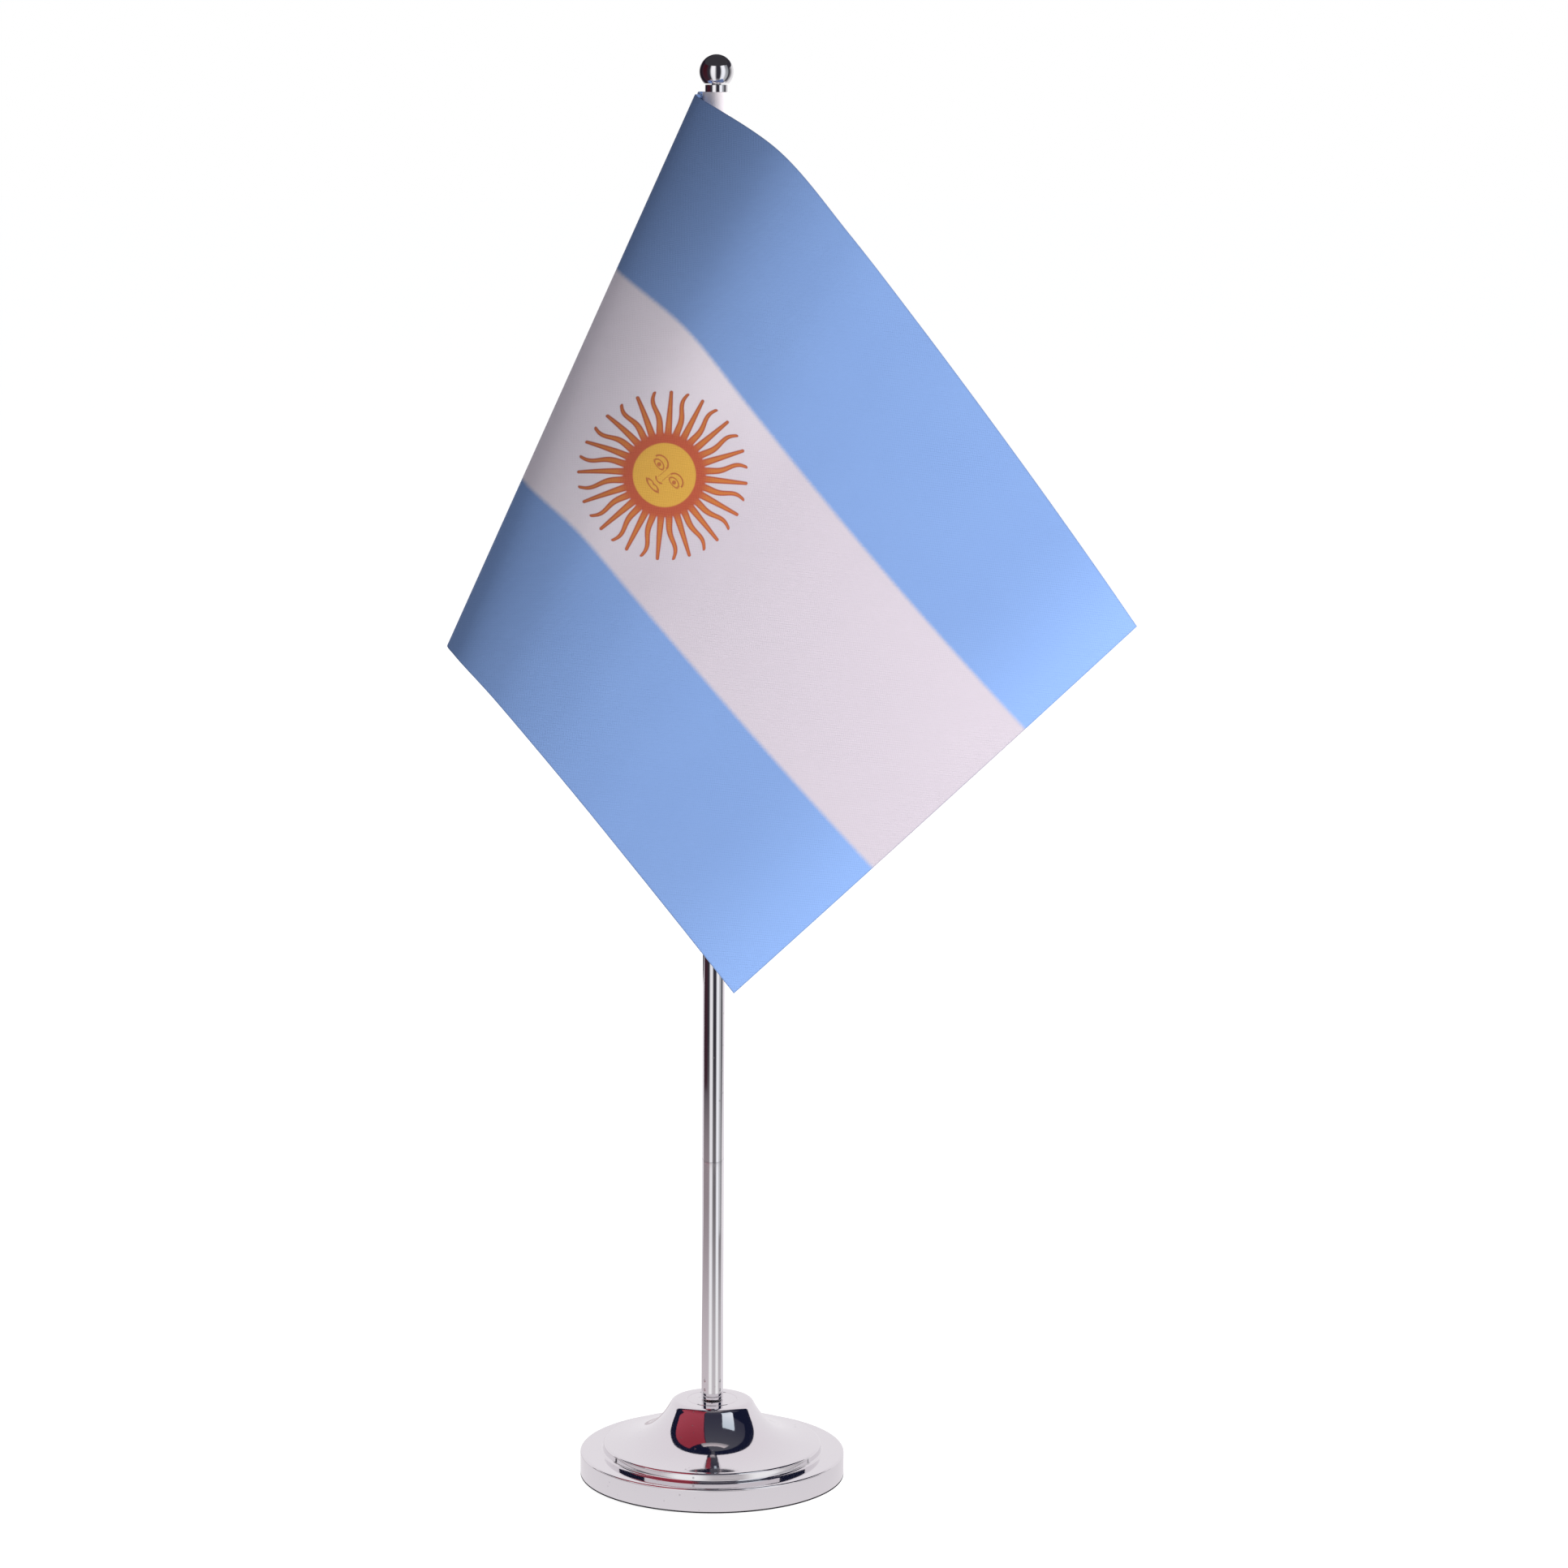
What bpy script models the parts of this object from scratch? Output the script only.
"""Desk flag stand: a chromed round base and tube pole with a ball finial, and a sleeve-mounted cloth flag.

Metres, +Z up. The origin is on the table under the middle of the base. The pole's axis is Z, and the flag
hangs over towards -Y and +X.
"""
import math

import bmesh
import bpy
import numpy as np
from mathutils import Matrix, Vector

MM = 0.001

# Overall sizes
BASE_RADIUS = 36.5 * MM
POLE_LENGTH = 359.2 * MM
POLE_RADIUS = 3.0 * MM
FLAG_HOIST = 150.0 * MM
FLAG_FLY = 225.0 * MM

# Base shell
SHELL_WALL = 0.8 * MM
RIM_HEIGHT = 7.0 * MM
RIM_ROUNDING = 1.1 * MM
STEP_RADIUS = 30.1 * MM
STEP_RISE = 1.8 * MM
STEP_ROUNDING = 0.6 * MM
PLATEAU_HEIGHT = 21.4 * MM
PLATEAU_RADIUS = 11.4 * MM
PLATEAU_ROUNDING = 2.4 * MM
FLARE_LENGTH = 6.0 * MM

# Foot, ballast and fixing
PAD_THICKNESS = 1.5 * MM
RIM_LIFT = 0.4 * MM
SCREW_RADIUS = 1.45 * MM
SCREW_HEAD_RADIUS = 2.75 * MM
SCREW_HEAD_HEIGHT = 2.2 * MM
SCREW_REACH = 9.0 * MM
SOCKET_RADIUS = 1.15 * MM
SOCKET_DEPTH = 1.3 * MM
PLAIN_WASHER_RADIUS = 3.5 * MM
PLAIN_WASHER_THICKNESS = 0.6 * MM
SPRING_WASHER_RADIUS = 2.8 * MM
SPRING_WASHER_THICKNESS = 0.8 * MM
SPRING_WASHER_SPLIT = 0.8 * MM
RECESS_CEILING = 9.0 * MM

# Pole
POLE_WALL = 0.5 * MM
FOOT_INSERT_LENGTH = 14.0 * MM
TOP_INSERT_LENGTH = 12.0 * MM
DIMPLE_HEIGHTS = (2.8 * MM, 5.4 * MM)
DIMPLE_RADIUS = 0.42 * MM
DIMPLE_DEPTH = 0.25 * MM
DIMPLES_AROUND = 4

# Finial
BALL_RADIUS = 4.55 * MM
STUD_RADIUS = 1.25 * MM
STUD_IN_POLE = 7.0 * MM
STUD_IN_BALL = 5.0 * MM

# Sleeve and cloth
SLEEVE_WALL = 0.4 * MM
SLEEVE_BELOW_BALL = 1.9 * MM
SLEEVE_SHORT = 13.0 * MM
CLOTH_THICKNESS = 0.7 * MM

# How the cloth hangs. Lengths along the cloth run from the hoist, and down it from the top edge.
# The fold and the front sheet are placed from the sleeve's left and front sides, at its top.
FOLD_FROM_HOIST_TOP = 33.0 * MM
FOLD_FROM_HOIST_SLOPE = 0.477
FOLD_TOP = Vector((-1.8 * MM, 0.9 * MM, -0.6 * MM))
FOLD_WAY = Vector((-0.427, -0.241, -0.946))
FOLD_ROLL_TOP = 0.9 * MM
FOLD_ROLL_SLOPE = 0.02
FOLD_SLIP = 0.6
SHEET_MIDDLE = Vector((12.3 * MM, -28.9 * MM, -108.2 * MM))
SHEET_MIDDLE_ALONG = 129.0 * MM
SHEET_MIDDLE_DOWN = 67.5 * MM
SHEET_TURN = Vector((-0.206, 0.887, 0.218))
CROWN_ANGLE = math.radians(68.9)
CROWN_NEAR_FOLD = 9.3
CROWN_NEAR_FLY = 1.6
ROLL_WIDTH = 9.5 * MM
ROLL_DEPTH_MOST = 40.0 * MM

# Guide points of the roll behind the pole, as shares of its sideways reach and of its depth,
# and of the front sheet, as shares of the way from the fold to the fly edge
ROLL_SHAPE = ((-0.26, 0.35), (-0.2, 0.75), (0.42, 1.0), (1.0, 0.5))
SHEET_GUIDES = (0.15, 0.3, 0.45, 0.6, 0.75, 0.9, 1.0)

# Fits
GAP = 0.3 * MM
THREAD_GAP = 0.2 * MM

SEGMENTS = 36
FINE_SEGMENTS = 48
SMALL_SEGMENTS = 24
CLOTH_BEHIND = 26
CLOTH_BEFORE = 24
CLOTH_DOWN = 10

POLE_FOOT = PLATEAU_HEIGHT + GAP
POLE_TOP = POLE_FOOT + POLE_LENGTH
SLEEVE_RADIUS = POLE_RADIUS + GAP + SLEEVE_WALL
SLEEVE_TOP = POLE_TOP - SLEEVE_BELOW_BALL


# ---------------------------------------------------------------- scene and materials

def clear_scene():
    for old in list(bpy.data.objects):
        bpy.data.objects.remove(old, do_unlink=True)


def collection(name):
    made = bpy.data.collections.new(name)
    bpy.context.scene.collection.children.link(made)
    return made


def material(name, colour, roughness, metallic):
    made = bpy.data.materials.new(name)
    made.use_nodes = True
    shader = made.node_tree.nodes["Principled BSDF"]
    shader.inputs["Base Color"].default_value = (*colour, 1.0)
    shader.inputs["Roughness"].default_value = roughness
    shader.inputs["Metallic"].default_value = metallic
    return made


# ---------------------------------------------------------------- shape helpers

def rounded(corners, steps=5):
    """Outline through (x, z, rounding) corners, each rounding an arc tangent to its two sides."""
    outline = []
    for i, (x, z, radius) in enumerate(corners):
        here = Vector((x, z))
        if radius <= 0.0:
            outline.append(here)
            continue
        before = (Vector(corners[i - 1][:2]) - here).normalized()
        after = (Vector(corners[(i + 1) % len(corners)][:2]) - here).normalized()
        half = before.angle(after) / 2.0
        centre = here + (before + after).normalized() * (radius / math.sin(half))
        start = here + before * (radius / math.tan(half)) - centre
        end = here + after * (radius / math.tan(half)) - centre
        sweep = start.angle_signed(end)
        for k in range(steps + 1):
            turn = Matrix.Rotation(-sweep * k / steps, 2)
            outline.append(centre + turn @ start)
    return outline


def turned(name, outline, finish, segments=SEGMENTS, ring=True):
    """Revolve an (x, z) outline about Z. A ring's outline closes on itself, others end on the axis."""
    mesh = bpy.data.meshes.new(name)
    points = [(p[0], 0.0, p[1]) for p in outline]
    edges = [(i, i + 1) for i in range(len(points) - 1)]
    if ring:
        edges.append((len(points) - 1, 0))
    mesh.from_pydata(points, edges, [])
    made = bpy.data.objects.new(name, mesh)
    PARTS.objects.link(made)
    screw = made.modifiers.new("Turn", "SCREW")
    screw.axis = "Z"
    screw.angle = math.tau
    screw.steps = segments
    screw.render_steps = segments
    screw.use_merge_vertices = True
    screw.merge_threshold = 0.00001
    screw.use_smooth_shade = True
    made.data.materials.append(finish)
    return made


def tube(name, outer, inner, low, high, finish, segments=SEGMENTS):
    """A plain bush or tube between two heights."""
    return turned(name, [(outer, high), (outer, low), (inner, low), (inner, high)], finish, segments)


def cutter(name):
    """Put the active new primitive among the cutters."""
    made = bpy.context.object
    made.name = name
    made.hide_render = True
    made.display_type = "WIRE"
    for old in list(made.users_collection):
        old.objects.unlink(made)
    CUTTERS.objects.link(made)
    return made


def cut(piece, tool):
    boolean = piece.modifiers.new("Cut", "BOOLEAN")
    boolean.operation = "DIFFERENCE"
    boolean.solver = "EXACT"
    boolean.object = tool


# ---------------------------------------------------------------- base

def flare_height(radius):
    """Height of the bell's outer face at a radius: steep under the plateau, flat at the step."""
    edge_radius = PLATEAU_RADIUS
    edge_height = PLATEAU_HEIGHT - PLATEAU_ROUNDING * 0.35
    skirt = RIM_HEIGHT + STEP_RISE
    return skirt + (edge_height - skirt) * math.exp(-(radius - edge_radius) / FLARE_LENGTH)


def base_shell():
    """Pressed and chromed shell: plateau, bell flare, step and upright rim."""
    flare_start = PLATEAU_RADIUS + 0.3 * MM
    flare = np.linspace(flare_start, STEP_RADIUS - 2.0 * STEP_ROUNDING, 9)
    corners = [(SCREW_RADIUS + THREAD_GAP, PLATEAU_HEIGHT, 0.0)]
    corners.append((PLATEAU_RADIUS - 0.4 * MM, PLATEAU_HEIGHT, PLATEAU_ROUNDING))
    corners += [(r, flare_height(r), 0.0) for r in flare]
    corners.append((STEP_RADIUS, flare_height(STEP_RADIUS), STEP_ROUNDING))
    corners.append((STEP_RADIUS + 0.2 * MM, RIM_HEIGHT, STEP_ROUNDING * 0.7))
    corners.append((BASE_RADIUS, RIM_HEIGHT, RIM_ROUNDING))
    corners.append((BASE_RADIUS, RIM_LIFT, 0.0))
    shell = turned("base_shell", rounded(corners, 3), CHROME, FINE_SEGMENTS, ring=False)
    wall = shell.modifiers.new("Wall", "SOLIDIFY")
    wall.thickness = SHELL_WALL
    wall.offset = -1.0
    return shell


def ballast_weight():
    """Cast iron weight that fills the bell, bored for the pole screw and recessed for its head."""
    inside = SHELL_WALL + GAP + 0.3 * MM
    outer = STEP_RADIUS - inside
    shoulder = RIM_HEIGHT - inside
    bore = SCREW_RADIUS + THREAD_GAP + GAP
    recess = PLAIN_WASHER_RADIUS + 2.0 * GAP
    under = PAD_THICKNESS + GAP
    crown = PLATEAU_RADIUS - inside
    outline = [(bore, PLATEAU_HEIGHT - inside), (crown - 1.5 * MM, PLATEAU_HEIGHT - inside)]
    for radius in np.linspace(crown, outer - 1.0 * MM, 9):
        slope = (flare_height(radius + inside) - flare_height(radius)) / inside
        drop = inside * math.hypot(1.0, slope)
        outline.append((radius, min(flare_height(radius) - drop, PLATEAU_HEIGHT - 2.0 * inside)))
    outline.append((outer, flare_height(outer) - 1.2 * inside))
    outline.append((outer, shoulder))
    outline.append((BASE_RADIUS - inside, shoulder - RIM_ROUNDING))
    outline.append((BASE_RADIUS - inside, under))
    outline += [(recess, under), (recess, RECESS_CEILING), (bore, RECESS_CEILING)]
    return turned("ballast_weight", outline, CAST_IRON)


def felt_pad():
    """Foot pad under the weight; it closes the recess and keeps the rim off the table."""
    radius = BASE_RADIUS - SHELL_WALL - GAP
    edge = PAD_THICKNESS * 0.2
    outline = [(0.0, PAD_THICKNESS), (radius - edge, PAD_THICKNESS), (radius, PAD_THICKNESS - edge)]
    outline += [(radius, edge), (radius - edge, 0.0), (0.0, 0.0)]
    return turned("felt_pad", outline, FELT, ring=False)


def pole_fixing():
    """Screw, spring washer and plain washer that hold the pole down from below."""
    hole = SCREW_RADIUS + THREAD_GAP
    plain_low = RECESS_CEILING - GAP - PLAIN_WASHER_THICKNESS
    spring_low = plain_low - GAP - SPRING_WASHER_THICKNESS
    head_top = spring_low - GAP
    head_low = head_top - SCREW_HEAD_HEIGHT
    tip = POLE_FOOT + SCREW_REACH
    tube("plain_washer", PLAIN_WASHER_RADIUS, hole, plain_low, plain_low + PLAIN_WASHER_THICKNESS, STEEL, SMALL_SEGMENTS)
    spring = tube("spring_washer", SPRING_WASHER_RADIUS, hole, spring_low,
                  spring_low + SPRING_WASHER_THICKNESS, STEEL, SMALL_SEGMENTS)
    bpy.ops.mesh.primitive_cube_add(size=1.0, location=(SPRING_WASHER_RADIUS, 0.0, spring_low))
    split = cutter("spring_washer_split")
    split.scale = (SPRING_WASHER_RADIUS * 2.0, SPRING_WASHER_SPLIT, SPRING_WASHER_THICKNESS * 4.0)
    split.rotation_euler = (math.radians(30.0), 0.0, 0.0)
    cut(spring, split)
    outline = [(0.0, tip), (SCREW_RADIUS * 0.7, tip), (SCREW_RADIUS, tip - SCREW_RADIUS * 0.5)]
    outline += [(SCREW_RADIUS, head_top), (SCREW_HEAD_RADIUS, head_top)]
    outline += [(SCREW_HEAD_RADIUS, head_low + 0.7 * MM), (SCREW_HEAD_RADIUS - 0.7 * MM, head_low)]
    outline += [(0.0, head_low)]
    screw = turned("pole_screw", outline, STEEL, SMALL_SEGMENTS, ring=False)
    bpy.ops.mesh.primitive_cylinder_add(vertices=6, radius=SOCKET_RADIUS, depth=SOCKET_DEPTH * 2.0,
                                        location=(0.0, 0.0, head_low), rotation=(0.0, 0.0, math.radians(4.0)))
    cut(screw, cutter("pole_screw_socket"))


# ---------------------------------------------------------------- pole and finial

def pole_tube():
    """Chromed tube with two rings of punch marks that grip the foot insert."""
    pole = tube("pole_tube", POLE_RADIUS, POLE_RADIUS - POLE_WALL, POLE_FOOT, POLE_TOP, CHROME)
    marks = bmesh.new()
    for height in DIMPLE_HEIGHTS:
        for i in range(DIMPLES_AROUND):
            angle = math.tau * (i + 0.5) / DIMPLES_AROUND
            reach = POLE_RADIUS - DIMPLE_DEPTH + DIMPLE_RADIUS
            centre = (reach * math.cos(angle), reach * math.sin(angle), POLE_FOOT + height)
            bmesh.ops.create_uvsphere(marks, u_segments=8, v_segments=6, radius=DIMPLE_RADIUS,
                                      matrix=Matrix.Translation(centre))
    mesh = bpy.data.meshes.new("pole_punch_marks")
    marks.to_mesh(mesh)
    marks.free()
    tool = bpy.data.objects.new("pole_punch_marks", mesh)
    tool.hide_render = True
    tool.display_type = "WIRE"
    CUTTERS.objects.link(tool)
    cut(pole, tool)
    return pole


def threaded_inserts():
    """Steel bushes inside the two ends of the tube: the foot takes the screw, the top takes the stud."""
    outer = POLE_RADIUS - POLE_WALL - THREAD_GAP
    foot_low = POLE_FOOT
    tube("foot_insert", outer, SCREW_RADIUS + THREAD_GAP, foot_low, foot_low + FOOT_INSERT_LENGTH, STEEL, SMALL_SEGMENTS)
    tube("top_insert", outer, STUD_RADIUS + THREAD_GAP, POLE_TOP - TOP_INSERT_LENGTH, POLE_TOP, STEEL, SMALL_SEGMENTS)


def finial():
    """Ball with a flat seat and a blind bore, and the threaded stud that joins it to the pole."""
    seat_radius = POLE_RADIUS + GAP
    seat = POLE_TOP + GAP
    centre = seat + math.sqrt(BALL_RADIUS ** 2 - seat_radius ** 2)
    start = math.asin(seat_radius / BALL_RADIUS)
    bore = STUD_RADIUS + THREAD_GAP
    ceiling = seat + STUD_IN_BALL + GAP
    outline = []
    for angle in np.linspace(0.0, math.pi - start, 14):
        outline.append((BALL_RADIUS * math.sin(angle), centre + BALL_RADIUS * math.cos(angle)))
    outline += [(bore, seat), (bore, ceiling), (0.0, ceiling)]
    turned("finial_ball", outline, CHROME, SEGMENTS, ring=False)
    low = POLE_TOP - STUD_IN_POLE
    high = seat + STUD_IN_BALL
    lead = STUD_RADIUS * 0.35
    outline = [(0.0, high), (STUD_RADIUS - lead, high), (STUD_RADIUS, high - lead)]
    outline += [(STUD_RADIUS, low + lead), (STUD_RADIUS - lead, low), (0.0, low)]
    turned("finial_stud", outline, STEEL, SMALL_SEGMENTS, ring=False)


# ---------------------------------------------------------------- sleeve and cloth

def flag_sleeve():
    """White cloth sleeve round the pole, a little shorter than the flag's hoist."""
    foot = SLEEVE_TOP - FLAG_HOIST + SLEEVE_SHORT
    return tube("flag_sleeve", SLEEVE_RADIUS, POLE_RADIUS + GAP, foot, SLEEVE_TOP, CLOTH_WHITE)


def bent(reach, curvature):
    """Distance along the flat and off it, for a length of cloth bent to a curvature."""
    turn = reach * curvature
    return math.sin(turn) / curvature, (1.0 - math.cos(turn)) / curvature


def front_sheet(along, down):
    """Place of a cloth point on the front sheet, which is crowned towards the viewer about a slanting line."""
    u = along - SHEET_MIDDLE_ALONG
    v = down - SHEET_MIDDLE_DOWN
    with_line = u * math.cos(CROWN_ANGLE) + v * math.sin(CROWN_ANGLE)
    across = u * math.sin(CROWN_ANGLE) - v * math.cos(CROWN_ANGLE)
    reach, sink = bent(abs(across), CROWN_NEAR_FLY if across > 0.0 else CROWN_NEAR_FOLD)
    across = math.copysign(reach, across)
    x = with_line * math.cos(CROWN_ANGLE) + across * math.sin(CROWN_ANGLE)
    z = -with_line * math.sin(CROWN_ANGLE) + across * math.cos(CROWN_ANGLE)
    turn = Matrix.Rotation(SHEET_TURN.length, 3, SHEET_TURN)
    return turn @ Vector((x, sink, z)) + SHEET_MIDDLE + Vector((-SLEEVE_RADIUS, -SLEEVE_RADIUS, SLEEVE_TOP))


def cloth_row(down, depth):
    """Guide points of one thread: from the sleeve's seam round a roll of some depth to the fold, and onward."""
    height = SLEEVE_TOP - down
    seam = SLEEVE_RADIUS + GAP + CLOTH_THICKNESS / 2.0
    fold_along = FOLD_FROM_HOIST_TOP + FOLD_FROM_HOIST_SLOPE * down
    fold = FOLD_TOP + FOLD_WAY * down + Vector((-SLEEVE_RADIUS, -SLEEVE_RADIUS, SLEEVE_TOP))
    roll = FOLD_ROLL_TOP + FOLD_ROLL_SLOPE * down
    fold_way = FOLD_WAY.normalized()
    onward = front_sheet(fold_along + 2.0 * roll, down) - front_sheet(fold_along, down)
    inward = (onward - fold_way * onward.dot(fold_way)).normalized()
    backward = inward.cross(fold_way)
    slip = fold_way * (roll * FOLD_SLIP)
    turn_away = fold + roll * (inward + backward) - slip
    turn_back = fold + roll * (inward - backward) + slip
    side = max(-ROLL_WIDTH, fold.x + roll)
    behind = [Vector((0.0, seam, height))]
    for sideways, back in ROLL_SHAPE:
        behind.append(Vector((side * sideways, seam + depth * back, height)))
    behind += [behind[-1].lerp(turn_away, 0.5), turn_away, fold]
    before = [turn_back]
    for share in SHEET_GUIDES:
        before.append(front_sheet(fold_along + (FLAG_FLY - fold_along) * share, down))
    return behind, before


def smooth_curve(guides, per_span=12):
    """Close points on a smooth curve through the guide points."""
    ends = [guides[0] * 2.0 - guides[1]] + guides + [guides[-1] * 2.0 - guides[-2]]
    dense = []
    for i in range(1, len(ends) - 2):
        p0, p1, p2, p3 = ends[i - 1:i + 3]
        k0 = max((p1 - p0).length, GAP) ** 0.5
        k1 = max((p2 - p1).length, GAP) ** 0.5
        k2 = max((p3 - p2).length, GAP) ** 0.5
        m1 = (p2 - p1) + ((p1 - p0) / k0 - (p2 - p0) / (k0 + k1)) * k1
        m2 = (p2 - p1) + ((p3 - p2) / k2 - (p3 - p1) / (k1 + k2)) * k1
        for j in range(per_span):
            t = j / per_span
            point = (2 * t ** 3 - 3 * t ** 2 + 1) * p1 + (t ** 3 - 2 * t ** 2 + t) * m1
            dense.append(point + (3 * t ** 2 - 2 * t ** 3) * p2 + (t ** 3 - t ** 2) * m2)
    dense.append(guides[-1])
    return np.array(dense)


def spaced(curve, spaces):
    """Points along a curve, evenly spaced."""
    reach = np.concatenate([[0.0], np.cumsum(np.linalg.norm(np.diff(curve, axis=0), axis=1))])
    even = np.linspace(0.0, reach[-1], spaces + 1)
    return np.stack([np.interp(even, reach, curve[:, axis]) for axis in range(3)], axis=1)


def cloth_thread(down):
    """Points along one thread; the roll behind the pole takes up what the fold and the front sheet leave."""
    per_span = 12
    shallow, deep = GAP, ROLL_DEPTH_MOST
    for attempt in range(16):
        depth = (shallow + deep) / 2.0
        behind, before = cloth_row(down, depth)
        curve = smooth_curve(behind + before, per_span)
        if np.linalg.norm(np.diff(curve, axis=0), axis=1).sum() > FLAG_FLY:
            deep = depth
        else:
            shallow = depth
    fold = (len(behind) - 1) * per_span
    return np.concatenate([spaced(curve[:fold + 1], CLOTH_BEHIND), spaced(curve[fold:], CLOTH_BEFORE)[1:]])


def flag_cloth():
    """The flag: one sheet that leaves the sleeve at the back, folds at the left and hangs over the front."""
    along = CLOTH_BEHIND + CLOTH_BEFORE
    bpy.ops.mesh.primitive_grid_add(x_subdivisions=along, y_subdivisions=CLOTH_DOWN, size=1.0)
    cloth = bpy.context.object
    cloth.name = "flag_cloth"
    for old in list(cloth.users_collection):
        old.objects.unlink(cloth)
    PARTS.objects.link(cloth)
    threads = [cloth_thread(FLAG_HOIST * j / CLOTH_DOWN) for j in range(CLOTH_DOWN + 1)]
    for vertex in cloth.data.vertices:
        i = round((vertex.co.x + 0.5) * along)
        j = round((0.5 - vertex.co.y) * CLOTH_DOWN)
        vertex.co = threads[j][i]
    wall = cloth.modifiers.new("Thickness", "SOLIDIFY")
    wall.thickness = CLOTH_THICKNESS
    wall.offset = 0.0
    cloth.data.shade_smooth()
    cloth.data.materials.append(CLOTH_BLUE)
    return cloth


clear_scene()
PARTS = collection("desk_flag_stand")
CUTTERS = collection("cutters")
CHROME = material("chrome", (0.78, 0.77, 0.79), 0.08, 1.0)
STEEL = material("zinc_steel", (0.6, 0.6, 0.62), 0.35, 1.0)
CAST_IRON = material("cast_iron", (0.12, 0.12, 0.13), 0.7, 0.6)
FELT = material("felt", (0.03, 0.03, 0.035), 0.95, 0.0)
CLOTH_WHITE = material("sleeve_cloth", (0.83, 0.8, 0.82), 0.8, 0.0)
CLOTH_BLUE = material("flag_cloth", (0.2, 0.36, 0.72), 0.7, 0.0)

base_shell()
ballast_weight()
felt_pad()
pole_fixing()
pole_tube()
threaded_inserts()
finial()
flag_sleeve()
flag_cloth()
